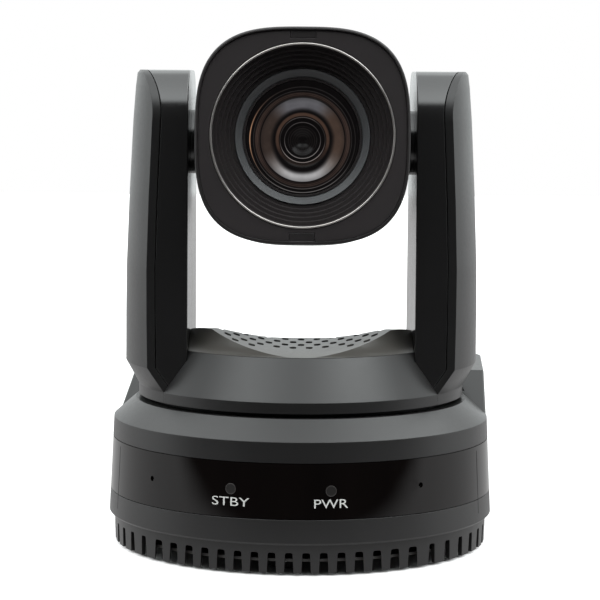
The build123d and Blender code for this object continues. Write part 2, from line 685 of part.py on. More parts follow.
def tilt_motor_pulley():
    # rim, two flanges and the motor shaft
    return (xcyl(MOTOR_PULLEY_R, PULLEY_X0, 57.0, 0, TILT_MOTOR_Z)
            + xcyl(6.6, PULLEY_X0, 52.1, 0, TILT_MOTOR_Z)
            + xcyl(6.6, 56.3, 57.0, 0, TILT_MOTOR_Z)
            + xcyl(2.0, 56.5, 67.5, 0, TILT_MOTOR_Z))


def tilt_pulley():
    pulley = (xcyl(PULLEY_R, PULLEY_X0, 56.6, 0, TILT_Z)
              + xcyl(17.6, PULLEY_X0, 52.1, 0, TILT_Z)
              + xcyl(17.6, 56.1, 56.6, 0, TILT_Z) - xcyl(5.0, 40, 70, 0, TILT_Z))
    for y, z in around(10.4, [72 * k + 20 for k in range(5)]):
        pulley -= xcyl(3.2, 40, 70, y, TILT_Z + z)
    return pulley


def belt_hull(extra, x0, x1):
    """Both pulley circles, grown by extra and joined by their outer tangents."""
    r1, r2 = PULLEY_R + 0.08 + extra, MOTOR_PULLEY_R + 0.08 + extra
    s = (r1 - r2) / (TILT_Z - TILT_MOTOR_Z)
    c = sqrt(1 - s * s)
    y1, z1 = c * r1, TILT_Z - s * r1
    y2, z2 = c * r2, TILT_MOTOR_Z - s * r2
    edges = [Line((x0, y2, z2), (x0, y1, z1)),
             ThreePointArc((x0, y1, z1), (x0, 0, TILT_Z + r1), (x0, -y1, z1)),
             Line((x0, -y1, z1), (x0, -y2, z2)),
             ThreePointArc((x0, -y2, z2), (x0, 0, TILT_MOTOR_Z - r2), (x0, y2, z2))]
    return extrude(make_face(Wire(edges)), amount=x1 - x0, dir=(1, 0, 0))


def tilt_belt():
    return belt_hull(1.2, 52.4, 55.8) - belt_hull(0.0, 52.0, 56.2)


def cable_loom():
    # up the hollow pan shaft, under the deck and up the left arm (-X)
    path = Spline((0, 0, 24), (0, 0, 50), (0, 0, 62), (-14, 0, 74.5), (-40, 0, 76.6),
                  (-52, 0, 82), (-54.3, 0, 96), (-54.3, 0, 130), (-54.3, 0, 158),
                  tangents=((0, 0, 1), (0, 0, 1)))
    return sweep(Plane(origin=(0, 0, 24), z_dir=(0, 0, 1)) * Circle(2.0), path=path)


# ================================================================= HEAD
# Drawn level, with the tilt axis along X through the origin.
def squircle(a, b, y, count=48):
    """Closed spline on a superellipse, its points evenly spread along the outline."""
    steps = 2400
    fine = []
    for k in range(steps + 1):
        t = 2 * pi * k / steps
        c, s = cos(t), sin(t)
        r = (abs(c / a) ** HEAD_POWER + abs(s / b) ** HEAD_POWER) ** (-1 / HEAD_POWER)
        fine.append((r * c, r * s))
    lengths = [0.0]
    for p, q in zip(fine, fine[1:]):
        lengths.append(lengths[-1] + sqrt((q[0] - p[0]) ** 2 + (q[1] - p[1]) ** 2))
    pts, j = [], 0
    for k in range(count):
        want = lengths[-1] * k / count
        while lengths[j + 1] < want:
            j += 1
        f = (want - lengths[j]) / (lengths[j + 1] - lengths[j])
        p, q = fine[j], fine[j + 1]
        pts.append((p[0] + f * (q[0] - p[0]), y, p[1] + f * (q[1] - p[1])))
    return Spline(*pts, periodic=True)


def head_prism(inset, y0, y1):
    face = make_face(squircle(HEAD_A - inset, HEAD_B - inset, y0))
    return extrude(face, amount=y1 - y0, dir=(0, 1, 0))


def outline_at(shape, y):
    return [e for e in shape.edges() if abs(e.center().Y - y) < 1e-3 and e.length > 100]


def head_shell():
    shell = head_prism(0, HEAD_Y0, HEAD_SPLIT)
    shell = try_fillet(shell, outline_at(shell, HEAD_Y0), (0.9,))
    shell -= head_prism(WALL, HEAD_Y0 + 3.0, HEAD_SPLIT + 1)
    shell -= head_prism(1.25, HEAD_Y0 - 1, HEAD_Y0 + 3.2)
    for s in SIDES:                 # tabs above and below the bezel
        tab = box(-5.2, 5.2, HEAD_Y0 + 0.75, HEAD_Y0 + 3.4, s * 40.3, s * 44.2)
        shell += tab & head_prism(0.5, HEAD_Y0, HEAD_Y0 + 8)
    return shell - xcyl(HUB_R + 0.15, -60, 60)


def head_rear_cap():
    cap = head_prism(0, HEAD_SPLIT + 0.2, HEAD_Y1)
    cavity = head_prism(WALL, HEAD_SPLIT, HEAD_Y1 - WALL)
    # The kernel may refuse the larger radii; if it refuses all, the cap stays solid.
    for r in (12.0, 9.0, 6.0):
        try:
            outer = fillet(outline_at(cap, HEAD_Y1), r)
            inner = fillet(outline_at(cavity, HEAD_Y1 - WALL), r - WALL)
            cap = outer - inner
            break
        except Exception:
            continue
    # lip that plugs into the shell
    cap += (head_prism(WALL + 0.1, HEAD_SPLIT - 3, HEAD_SPLIT + 3)
            + head_prism(1.5, HEAD_SPLIT + 0.3, HEAD_SPLIT + 3)
            - head_prism(WALL + 1.6, HEAD_SPLIT - 4, HEAD_SPLIT + 4))
    for k in range(-3, 4):
        cap -= box(-20, 20, 50, 70, k * 6 - 1.2, k * 6 + 1.2)
    return cap


def front_bezel():
    bezel = head_prism(1.4, HEAD_Y0 + 0.7, HEAD_Y0 + 2.9) - ycyl(38.6, -60, -40)
    for s in SIDES:
        bezel -= box(-5.35, 5.35, -60, -40, s * 40.15, s * 50)
    return bezel


def lens_trim_ring():
    # thin ring with a rounded front edge
    nose = [(37.96 - 0.46 * cos(radians(t)), HEAD_Y0 + 0.56 - 0.46 * sin(radians(t)))
            for t in range(0, 181, 20)]
    return yrev([(38.42, HEAD_Y0 + 3.6), (37.5, HEAD_Y0 + 3.6)] + nose)


def hood_baffle():
    steps = 5
    r0, r1, y0, y1 = 37.4, 28.4, HEAD_Y0 + 1.2, HEAD_Y0 + 9.2
    dr, dy = (r0 - r1) / steps, (y1 - y0) / steps
    pts = []
    for k in range(steps):
        r, y = r0 - dr * k, y0 + dy * k
        pts += [(r, y), (r - dr * 0.18, y + dy)]
    return yrev(pts + [(r1, y1), (r1, y1 + 1.6), (r0, y0 + 4.4)])


def lens_front_ring():
    return yrev([(28.1, HEAD_Y0 + 8.6), (25.0, HEAD_Y0 + 11.6), (25.0, HEAD_Y0 + 22),
                 (28.1, HEAD_Y0 + 22)])


# --- optical barrel, elements and moving groups
BARREL_IN_R, BARREL_Y1 = 20.0, 24.0
RODS = around(17.4, (20, 200))      # (x, z) of the guide rods


def lens_barrel():
    barrel = yrev([(24.9, -43.8), (24.9, BARREL_Y1), (BARREL_IN_R, BARREL_Y1),
                   (BARREL_IN_R, -32.0), (24.0, -32.0), (24.0, -43.8)])
    return barrel - [ycyl(0.9, 20, 30, x, z) for x, z in around(22.4, DIAGONALS)]


def lens(r, y0, y1, sag0, sag1):
    """Element between two spherical faces; a positive sag bulges outwards on that side."""
    def face(y, sag, outward):
        sphere_r = (r * r + sag * sag) / (2 * abs(sag))
        sign = outward if sag > 0 else -outward
        pts = []
        for k in range(11):
            q = r * k / 10
            height = sqrt(sphere_r * sphere_r - q * q) - (sphere_r - abs(sag))
            pts.append((q, y + sign * height))
        return pts

    return yrev(face(y0, sag0, -1) + face(y1, sag1, 1)[::-1])


def front_lens():
    return lens(23.9, -39.6, -33.0, 3.4, -1.0)


def zoom_lens():
    return lens(11.0, -18.5, -15.0, -1.6, -1.2)


def focus_lens():
    return lens(9.0, 11.2, 13.4, 1.2, 1.2)


def carriage(y0, y1, bore):
    """Ring with two ears that slide on the guide rods."""
    ring = yrev([(15.5, y0), (15.5, y1), (bore, y1), (bore, y0)])
    for rod, neck in zip(RODS, around(15.6, (20, 200))):
        ring += ycyl(2.3, y0, y1, *rod)
        ring += ycyl(1.8, y0, y1, *neck)
    for x, z in RODS:
        ring -= ycyl(1.26, y0 - 1, y1 + 1, x, z)
    return ring


def zoom_group():
    return carriage(-20, -13, 11.0)


def focus_group():
    return carriage(10, 14.5, 9.0)


def guide_rods():
    return [ycyl(1.2, -31.5, 23.6, x, z) for x, z in RODS]


def iris_unit():
    iris = yrev([(19.9, 1.0), (19.9, 4.0), (5.5, 4.0), (5.5, 1.0)])
    return iris - [ycyl(1.35, 0, 5, x, z) for x, z in RODS]


def camera_block_frame():
    corners = [(sx, sz) for sx in SIDES for sz in SIDES]
    frame = head_prism(WALL + 0.2, BARREL_Y1, 26.5) - ycyl(17.0, 20, 30)
    frame = frame - [ycyl(5, 20, 30, sx * 30, sz * 22) for sx, sz in corners]
    for sx, sz in corners:          # posts for the sensor board
        frame += ycyl(2.4, 26.0, 31.0, sx * 20, sz * 20)
    return frame


def image_sensor_board():
    return (box(-24, 24, 31.0, 32.6, -24, 24) + box(-8, 8, 28.6, 31.2, -6.5, 6.5)
            + box(-14, 4, 32.5, 34.6, -10, 6))


def tilt_hub(s):
    """Flange, hub and tilt shaft on the side s."""
    return (xcyl(16.5, s * 38.2, s * 40.6) + xcyl(HUB_R, s * 40.4, s * 46.35)
            + xcyl(5.0, s * 46.0, s * 63.5))


def tilt_hub_left():
    return Pos(0, 0, TILT_Z) * tilt_hub(-1)


def tilt_hub_right():
    return Pos(0, 0, TILT_Z) * tilt_hub(1)


# ================================================================= write the pieces
BASE_PARTS = (
    bottom_tray, metal_bottom_plate, rubber_feet, base_screws, base_shell, front_window,
    led_light_pipes, microphones, ir_receivers, chassis_plate, main_board, front_board,
    rear_panel, power_jack, lan_connector, hdmi_connector, sdi_connector, serial_connectors,
    pan_bearing_housing)
# these are already in the row frame
YOKE_PARTS = (
    pan_bearing_outer_races, pan_bearing_inner_races, pan_bearing_balls, pan_motor, pan_pinion,
    pan_gear, pan_shaft, turntable, yoke_frame, yoke_screws, arm_housing_right,
    arm_housing_left, arm_cover_right, arm_cover_left, yoke_front_cover, yoke_rear_cover,
    deck_cover, tilt_bushings, tilt_motor, tilt_motor_pulley, tilt_pulley, tilt_belt,
    cable_loom, tilt_hub_left, tilt_hub_right)
HEAD_PARTS = (
    head_shell, head_rear_cap, front_bezel, lens_trim_ring, hood_baffle, lens_front_ring,
    lens_barrel, front_lens, zoom_group, zoom_lens, focus_group, focus_lens, guide_rods,
    iris_unit, camera_block_frame, image_sensor_board)

os.makedirs("parts", exist_ok=True)
for place, group in ((BASE, BASE_PARTS), (YOKE, YOKE_PARTS), (HEAD, HEAD_PARTS)):
    for piece in group:
        save(piece, place)
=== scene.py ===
"""A lens head held between two arms on a base with a curved front window.

Metres, +Z up. The front faces -Y, towards the camera, and left means -X. The base is turned
a little about Z and the head is tipped up about its own axis. Pieces built here are laid out
in millimetres, square to the front, and then placed by BASE_PLACE or HEAD_PLACE.
"""
import json
import math

import bmesh
import bpy
from mathutils import Matrix, Vector


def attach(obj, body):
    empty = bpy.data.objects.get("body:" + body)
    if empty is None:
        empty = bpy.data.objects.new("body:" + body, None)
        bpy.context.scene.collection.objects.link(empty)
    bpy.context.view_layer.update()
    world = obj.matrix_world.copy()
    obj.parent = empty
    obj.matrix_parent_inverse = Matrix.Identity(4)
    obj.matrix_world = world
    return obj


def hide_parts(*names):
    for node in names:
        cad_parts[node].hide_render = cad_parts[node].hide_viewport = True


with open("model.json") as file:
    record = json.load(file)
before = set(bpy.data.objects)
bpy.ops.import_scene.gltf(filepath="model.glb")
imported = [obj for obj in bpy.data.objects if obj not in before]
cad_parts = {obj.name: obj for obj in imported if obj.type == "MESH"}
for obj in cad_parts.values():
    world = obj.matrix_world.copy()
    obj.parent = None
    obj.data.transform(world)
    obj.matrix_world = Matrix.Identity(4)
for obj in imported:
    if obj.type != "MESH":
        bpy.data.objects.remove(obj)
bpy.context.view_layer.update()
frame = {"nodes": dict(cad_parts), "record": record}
scene = bpy.context.scene

MM_PER_M = 1000
BASE_YAW = math.radians(-5.6)
HEAD_UP = math.radians(4.4)
HEAD_AXIS = Vector((0, 0, 0.1747))
BASE_PLACE = Matrix.Rotation(BASE_YAW, 4, "Z")
HEAD_PLACE = Matrix.Translation(HEAD_AXIS) @ Matrix.Rotation(-HEAD_UP, 4, "X")


# ------------------------------------------------------------------ node helpers
class Graph:
    """Builds shader nodes. An input value may be a constant or another node's output."""

    def __init__(self, tree):
        self.nodes = tree.nodes
        self.links = tree.links

    def feed(self, node, inputs):
        for socket, value in inputs.items():
            if isinstance(value, bpy.types.NodeSocket):
                self.links.new(value, node.inputs[socket])
            else:
                node.inputs[socket].default_value = value

    def add(self, kind, inputs=None, **settings):
        node = self.nodes.new(kind)
        for name, value in settings.items():
            setattr(node, name, value)
        self.feed(node, inputs or {})
        return node

    def calc(self, operation, first, second=None):
        inputs = {0: first} if second is None else {0: first, 1: second}
        return self.add("ShaderNodeMath", inputs, operation=operation).outputs[0]

    def times(self, first, second):
        return self.calc("MULTIPLY", first, second)

    def plus(self, first, second):
        return self.calc("ADD", first, second)

    def remap(self, value, to=(0.0, 1.0), span=(0.0, 1.0), curve="LINEAR"):
        """Carry value from the range span to the range to, held at both ends."""
        return self.add("ShaderNodeMapRange", {
            "From Min": span[0], "From Max": span[1], "To Min": to[0], "To Max": to[1],
            "Value": value}, interpolation_type=curve).outputs["Result"]

    def band(self, value, rise, fall):
        """Smooth 0-1 window: up over the range rise, down over the range fall."""
        up = self.remap(value, span=rise, curve="SMOOTHSTEP")
        down = self.remap(value, to=(1, 0), span=fall, curve="SMOOTHSTEP")
        return self.times(up, down)


class Material(Graph):
    def __init__(self, name):
        self.data = bpy.data.materials.new(name)
        self.data.use_nodes = True
        super().__init__(self.data.node_tree)
        self.shader = self.nodes["Principled BSDF"]
        self.output = self.nodes["Material Output"]
        self.coords = self.add("ShaderNodeTexCoord").outputs["Object"]

    def noise(self, scale, detail, rough, coords=None):
        return self.add("ShaderNodeTexNoise", {
            "Scale": scale, "Detail": detail, "Roughness": rough,
            "Vector": coords or self.coords}).outputs["Fac"]

    def stretched(self, scale):
        return self.add("ShaderNodeMapping",
                        {"Scale": scale, "Vector": self.coords}).outputs["Vector"]

    def ramp(self, factor, low, high):
        """Colour from low to high over the middle of a noise's range."""
        node = self.add("ShaderNodeValToRGB", {"Fac": factor})
        for stop, position, color in zip(node.color_ramp.elements, (0.3, 0.7), (low, high)):
            stop.position = position
            stop.color = (*color, 1)
        return node.outputs["Color"]

    def bevel(self, radius):
        return self.add("ShaderNodeBevel", {"Radius": radius}, samples=4).outputs["Normal"]

    def bump(self, height, strength, distance, normal=None):
        inputs = {"Strength": strength, "Distance": distance, "Height": height}
        if normal is not None:
            inputs["Normal"] = normal
        return self.add("ShaderNodeBump", inputs).outputs["Normal"]

    def edge_highlight_mask(self, radius):
        """0 on flats, 1 on sharp convex or concave edges."""
        rounded = self.bevel(radius)
        flat = self.add("ShaderNodeNewGeometry").outputs["Normal"]
        match = self.add("ShaderNodeVectorMath", {0: rounded, 1: flat}, operation="DOT_PRODUCT")
        return self.remap(match.outputs["Value"], to=(1.0, 0.0), span=(0.75, 1.0))

    def finish(self, inputs):
        self.feed(self.shader, inputs)
        return self.data


# ------------------------------------------------------------------ materials
NOISE_CORE = (0.3, 0.7)     # the part of a noise's range that carries most of its variation


def moulded(name, color, rough, grain=2600.0, grain_depth=0.00003, bevel=0.00035, spec=0.5,
            edge=0.25):
    """Moulded plastic: fine grain, slow colour drift, softened edges painted slightly paler as a
    highlight.
    """
    drift = 0.06            # share by which the colour varies
    m = Material(name)
    slow = m.noise(scale=18.0, detail=3, rough=0.5)
    fine = m.noise(scale=grain, detail=2, rough=0.6)
    middle = m.noise(scale=grain * 0.22, detail=3, rough=0.6)
    paint = m.ramp(m.plus(m.times(slow, 0.7), m.times(middle, 0.3)),
                   low=[part * (1 - drift) for part in color],
                   high=[part * (1 + drift) for part in color])
    # painted highlight: edges made paler by the share edge
    if edge:
        edge_highlight_color = [min(1, part * 2.2 + 0.02) for part in color]
        # on a colour mix, inputs 6 and 7 are the two colours
        paint = m.add("ShaderNodeMix", {
            0: m.times(m.edge_highlight_mask(radius=0.0004), edge), 6: paint, 7: (*edge_highlight_color, 1)},
            data_type="RGBA").outputs[2]
    blotch = m.plus(m.times(slow, 0.5), m.times(middle, 0.5))
    return m.finish({
        "Base Color": paint,
        "Roughness": m.remap(blotch, to=(rough - 0.05, rough + 0.05), span=NOISE_CORE),
        "Specular IOR Level": spec,
        "Normal": m.bump(fine, strength=0.35, distance=grain_depth,
                         normal=m.bevel(bevel) if bevel else None)})


def metal(name, color, rough, bevel=0.0003):
    drift = 0.08            # share by which the colour varies
    m = Material(name)
    mottle = m.noise(scale=700.0, detail=4, rough=0.6)
    slow = m.noise(scale=30.0, detail=2, rough=0.5)
    return m.finish({
        "Base Color": m.ramp(slow, low=[part * (1 - drift) for part in color],
                             high=[min(1, part * (1 + drift)) for part in color]),
        "Roughness": m.remap(mottle, to=(rough - 0.06, rough + 0.08), span=NOISE_CORE),
        "Metallic": 1.0,
        "Normal": m.bump(mottle, strength=0.15, distance=0.00003, normal=m.bevel(bevel))})


def circuit_board():
    m = Material("circuit_board")
    tracks = m.add("ShaderNodeTexBrick", {
        "Scale": 180.0, "Mortar Size": 0.02,
        "Color1": (0.01, 0.08, 0.035, 1),
        "Color2": (0.012, 0.1, 0.045, 1),
        "Mortar": (0.03, 0.2, 0.09, 1),
        "Vector": m.stretched((1, 1, 1))})
    return m.finish({
        "Base Color": tracks.outputs["Color"],
        "Roughness": m.remap(m.noise(scale=400, detail=3, rough=0.5), to=(0.25, 0.45))})


def window_gloss():
    """Polished plastic: near black, hard gloss, faint drawn lines down the height."""
    m = Material("window_gloss")
    drawn = m.stretched((1.0, 1.0, 0.03))
    streak = m.noise(scale=420.0, detail=4, rough=0.65, coords=drawn)
    wide = m.noise(scale=60.0, detail=2, rough=0.5, coords=drawn)
    return m.finish({
        "Base Color": m.ramp(wide, low=(0.0022, 0.0014, 0.0013), high=(0.0036, 0.0024, 0.0022)),
        "Roughness": m.remap(streak, to=(0.02, 0.06), span=(0.35, 0.65)),
        "Specular IOR Level": 0.5,
        "Normal": m.bump(streak, strength=0.16, distance=0.00005)})


def light_pipe():
    m = Material("light_pipe_smoked")
    return m.finish({
        "Base Color": m.ramp(m.noise(scale=900, detail=3, rough=0.6),
                             low=(0.009, 0.008, 0.0078), high=(0.015, 0.013, 0.012)),
        "Roughness": m.remap(m.noise(scale=500, detail=2, rough=0.5), to=(0.25, 0.4))})


def optical_glass():
    m = Material("optical_glass")
    return m.finish({
        "Base Color": (1, 1, 1, 1),
        "Transmission Weight": 1.0,
        "IOR": 1.5,
        "Roughness": m.remap(m.noise(scale=60, detail=2, rough=0.5), to=(0.0, 0.012)),
        "Thin Film Thickness": 380.0,
        "Thin Film IOR": 1.33})


def coated_element_painted_glow():
    """Dark polished glass; its inner reflections are painted as glow from a colour stored on the
    surface.
    """
    m = Material("coated_element_painted_glow")
    painted_glow = m.add("ShaderNodeAttribute", attribute_name="painted_glow").outputs["Color"]
    vary = m.remap(m.noise(scale=260.0, detail=3, rough=0.5), to=(0.88, 1.12), span=NOISE_CORE)
    glow = m.add("ShaderNodeVectorMath", {0: painted_glow, "Scale": vary}, operation="SCALE")
    return m.finish({
        "Emission Color": glow.outputs[0],
        "Emission Strength": 1.0,
        "Base Color": (0.0025, 0.0022, 0.0024, 1),
        "Roughness": m.remap(m.noise(scale=90.0, detail=2, rough=0.5), to=(0.10, 0.16)),
        "Specular IOR Level": 0.07})


CHARCOAL = (0.0138, 0.0132, 0.0134)
HOUSING = moulded("charcoal_housing", color=CHARCOAL, rough=0.34, spec=0.55)
ARM = moulded("arm_housing_satin", color=CHARCOAL, rough=0.17, spec=1.0, grain_depth=0.00001)
# painted sheen: the same charcoal plastic made lighter to stand in for overhead light on the deck
DECK = moulded("deck_painted_sheen", color=(0.082, 0.077, 0.070), rough=0.36)
# black part, darkened below the other blacks as painted shade for the gap under the ring
TABLE = moulded("turntable_black_painted_shade", color=(0.004, 0.0038, 0.004), rough=0.6, spec=0.2,
                edge=0.0)
HEAD = moulded("head_housing", color=(0.0215, 0.0185, 0.019), rough=0.42)
BEZEL = moulded("bezel_black", color=(0.028, 0.0232, 0.0243), rough=0.5, grain=3000, spec=0.45,
                edge=0.1)
HUB = moulded("hub_plastic", color=(0.03, 0.03, 0.031), rough=0.42)
BAFFLE = moulded("baffle_black", color=(0.022, 0.0178, 0.0182), rough=0.5, grain=3200,
                 spec=0.35, bevel=0.00012, edge=0.45)
COMPONENT = moulded("component_black", color=(0.012, 0.012, 0.012), rough=0.45)
RUBBER = moulded("rubber_black", color=(0.012, 0.012, 0.012), rough=0.75, grain=1500, spec=0.3)
SHEET = moulded("powder_coated_sheet", color=(0.05, 0.048, 0.046), rough=0.5, grain=1400,
                grain_depth=0.00006)
GEAR = moulded("acetal_gear", color=(0.62, 0.6, 0.55), rough=0.35)
CABLE = moulded("cable_sleeve", color=(0.015, 0.015, 0.017), rough=0.6, grain=900,
                grain_depth=0.0002)
RING_GREY = moulded("ring_grey_satin", color=(0.088, 0.090, 0.094), rough=0.38, bevel=0.00015,
                    edge=0.1)
SILVER = metal("silver_trim", color=(0.55, 0.52, 0.5), rough=0.34, bevel=0.0001)
STEEL = metal("steel_plated", color=(0.52, 0.53, 0.54), rough=0.3)
CAST = metal("cast_alloy", color=(0.5, 0.51, 0.52), rough=0.5)
BRASS = metal("brass_turned", color=(0.72, 0.52, 0.24), rough=0.28)
NICKEL = metal("nickel_shell", color=(0.6, 0.6, 0.58), rough=0.22)
BOARD = circuit_board()
WINDOW = window_gloss()
PIPE = light_pipe()
GLASS = optical_glass()

SLOT_PAINT = {
    "charcoal_housing": HOUSING, "sheet_metal": SHEET, "rubber": RUBBER, "steel": STEEL,
    "window_gloss": WINDOW, "light_pipe": PIPE, "component_black": COMPONENT,
    "circuit_board": BOARD, "connector_metal": NICKEL, "cast_alloy": CAST,
    "motor_metal": SHEET, "brass": BRASS, "gear_plastic": GEAR, "cable_jacket": CABLE,
    "bezel_black": BEZEL, "silver_trim": SILVER, "baffle_black": BAFFLE,
    "ring_grey": RING_GREY, "optical_glass": GLASS, "hub_plastic": HUB,
}
# pieces whose finish differs from the rest of their slot, or which carry painted light: a painted
# sheen on the deck, painted shade on the turntable
PIECE_PAINT = {
    "head_shell": HEAD, "head_rear_cap": HEAD, "deck_cover": DECK, "turntable": TABLE,
    "arm_housing_left": ARM, "arm_housing_right": ARM,
}


def paint_cad_pieces():
    for part in frame["record"]["subparts"]:
        node = part["node"]
        materials = frame["nodes"][node].data.materials
        materials.clear()
        materials.append(PIECE_PAINT.get(node, SLOT_PAINT[part["material_slot"]]))


paint_cad_pieces()


# ------------------------------------------------------------------ added pieces
def add_object(name, mesh):
    piece = bpy.data.objects.new(name, mesh)
    scene.collection.objects.link(piece)
    return piece


def new_piece(name, verts, faces, material, body, place):
    mesh = bpy.data.meshes.new(name)
    mesh.from_pydata([tuple(place @ Vector(v)) for v in verts], [], faces)
    mesh.update()
    for face in mesh.polygons:
        face.use_smooth = True
    piece = add_object(name, mesh)
    piece.data.materials.append(material)
    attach(piece, body)
    return piece


def smoothstep(start, end, value):
    t = min(1.0, max(0.0, (value - start) / (end - start)))
    return t * t * (3 - 2 * t)


def bell(value, center, width):
    return math.exp(-((value - center) / width) ** 2)


# ------------------------------------------------------------------ front element
def to_linear(level):
    """Linear value of an sRGB level from 0 to 255."""
    level /= 255.0
    return level / 12.92 if level <= 0.04045 else ((level + 0.055) / 1.055) ** 2.4


# faint painted highlight rings on the deep centre: radius (mm), strength
CENTRE_RINGS = ((6.0, 0.16), (5.1, 0.224), (4.1, 0.16), (3.2, 0.16), (2.3, 0.128))


def painted_lens_glow(radius, angle):
    """Painted reflection colour, emitted as glow, at a radius (mm) and angle (0 at the bottom,
    positive to the right).

    Colours here are sRGB levels from 0 to 255; radii and line widths are in mm and the
    angular limits in degrees from the bottom.
    """
    turn = abs(math.degrees(angle))
    left = angle < 0
    painted_glow = [11.0, 9.5, 9.8]

    def blend(color, amount):
        for i in range(3):
            painted_glow[i] += (color[i] - painted_glow[i]) * amount

    def line(center, width, color, amount):
        blend(color, min(1.0, amount * bell(radius, center, width)))

    # painted wide ring reflection: bright below, brown at the sides, softer above
    below = 1 - smoothstep(18, 78, turn)
    above = smoothstep(122, 158, turn)
    sides = (52, 43, 39) if left else (66, 53, 46)
    ring = [side * (1 - below) * (1 - above) + low * below + high * above
            for side, low, high in zip(sides, (166, 165, 166), (86, 85, 89))]
    inner = 11.6 + 1.3 * below
    amount = smoothstep(inner, inner + 2.4, radius) * (1 - smoothstep(17.35, 17.75, radius))
    blend(ring, amount * (1 - 0.22 * smoothstep(15.6, 17.6, radius)))

    # brown inner collar, its two edge lines and the faint rings inside them, all painted
    # reflections in the glow
    amount = smoothstep(9.7, 10.2, radius) * (1 - smoothstep(10.9, 11.7, radius))
    blend((66, 50, 42), amount * (0.35 + 0.65 * smoothstep(30, 95, turn)))
    line(9.45, 0.16, (150, 140, 136), 0.25 + 0.75 * (1 - smoothstep(40, 95, turn)) + 0.25 * above)
    line(7.55, 0.14, (150, 144, 142), 0.35 + 0.6 * (1 - smoothstep(40, 110, turn)) + 0.15 * above)
    for center, strength in CENTRE_RINGS:
        line(center, 0.16, (90, 80, 78), strength)

    # brown shelf with fine lines, then two light rings on black, all painted reflections in the
    # glow
    amount = smoothstep(17.9, 18.2, radius) * (1 - smoothstep(19.9, 20.2, radius))
    blend((44, 35, 32), amount * (0.55 + 0.45 * bell(turn, 92, 42)))
    line(17.85, 0.12, (14, 10, 10), 0.9)
    line(18.9, 0.12, (88, 70, 62), 0.5)
    line(19.5, 0.12, (92, 76, 68), 0.5)
    line(20.6, 0.13, (118, 112, 110), 0.35 + 0.4 * below)
    line(22.1, 0.16, (140, 136, 134), 0.22 + 0.55 * below)
    if left:
        # painted warm glint on the outer ring
        line(22.1, 0.18, (232, 178, 138), bell(turn, 94, 26))
        line(22.1, 0.3, (120, 80, 60), 0.3 * bell(turn, 100, 40))
    return [to_linear(level) for level in painted_glow]


LENS_SEGMENTS = 180
LENS_STEP = 0.09                        # longest radial step between rings of vertices
BOWL_OUTER, BOWL_INNER = 18.0, 9.8
BOWL_STEPS = 60
CENTRE_RADIUS, CENTRE_TIP = 7.3, 0.1
CENTRE_STEPS = 24
# radius, y, z offset (mm): the stepped rim, from the back edge in to the bowl
LENS_RIM = [
    (23.9, -33.2, 0.0), (23.9, -40.6, 0.0), (23.6, -40.9, 0.0), (23.2, -40.7, -0.4),
    (22.5, -40.5, -0.9), (22.25, -40.8, -1.0), (22.0, -40.8, -1.0), (21.8, -40.4, -1.0),
    (20.8, -40.35, -1.0), (20.65, -40.6, -1.0), (20.45, -40.6, -1.0), (20.3, -40.2, -1.0),
    (BOWL_OUTER, -40.0, -1.0),
]
# radius, y, z offset (mm): the two thin collars between the bowl and the centre
LENS_COLLARS = [
    (9.7, -40.2, -1.05), (9.6, -40.9, -1.1), (9.3, -40.9, -1.1), (9.2, -40.0, -1.1),
    (7.75, -39.8, -1.25), (7.65, -40.3, -1.25), (7.4, -40.3, -1.25),
    (CENTRE_RADIUS, -39.4, -1.3),
]


def lens_profile():
    """Radius, y and z offset (mm) of every ring of vertices, from the back edge inwards."""
    bowl = []
    for k in range(1, BOWL_STEPS):
        t = k / BOWL_STEPS
        bulge = 1.9 * math.sin(math.pi * 0.5 * t) * (1 - 0.55 * smoothstep(0.6, 1.0, t))
        bowl.append((BOWL_OUTER - (BOWL_OUTER - BOWL_INNER) * t, -40.0 - bulge, -1.0))
    centre = []
    for k in range(1, CENTRE_STEPS + 1):
        t = k / CENTRE_STEPS
        radius = CENTRE_RADIUS - (CENTRE_RADIUS - CENTRE_TIP) * t
        centre.append((radius, -39.3 + 3.2 * smoothstep(0, 1, t), -1.3))
    coarse = LENS_RIM + bowl + LENS_COLLARS + centre
    dense = [coarse[0]]
    for a, b in zip(coarse, coarse[1:]):
        steps = max(1, math.ceil(abs(a[0] - b[0]) / LENS_STEP))
        dense += [tuple(a[i] + (b[i] - a[i]) * k / steps for i in range(3))
                  for k in range(1, steps + 1)]
    return dense


def front_element():
    profile = lens_profile()
    count = LENS_SEGMENTS
    verts, faces, painted_glows = [], [], []
    for radius, y, offset in profile:
        for j in range(count):
            angle = 2 * math.pi * j / count
            verts.append((radius * math.sin(angle) / MM_PER_M, y / MM_PER_M,
                          (offset - radius * math.cos(angle)) / MM_PER_M))
            signed = angle if angle <= math.pi else angle - 2 * math.pi
            painted_glows.append(painted_lens_glow(radius, signed))
    for i in range(len(profile) - 1):
        for j in range(count):
            k = (j + 1) % count
            faces.append((i * count + j, i * count + k,
                          (i + 1) * count + k, (i + 1) * count + j))

    # close the centre, then the back
    last = (len(profile) - 1) * count
    verts.append((0, profile[-1][1] / MM_PER_M, profile[-1][2] / MM_PER_M))
    painted_glows.append(painted_lens_glow(0.0, 0.0))
    tip = len(verts) - 1
    faces += [(last + j, last + (j + 1) % count, tip) for j in range(count)]
    verts.append((0, profile[0][1] / MM_PER_M, 0))
    painted_glows.append(painted_lens_glow(profile[0][0], 0.0))
    back = len(verts) - 1
    faces += [((j + 1) % count, j, back) for j in range(count)]

    piece = new_piece("front_element", verts, faces, coated_element_painted_glow(), "head", HEAD_PLACE)
    # painted reflection colours, which the material emits as glow
    stored = piece.data.color_attributes.new("painted_glow", "FLOAT_COLOR", "POINT")
    for i, painted_glow in enumerate(painted_glows):
        stored.data[i].color = (*painted_glow, 1.0)
    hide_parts("front_lens")


front_element()

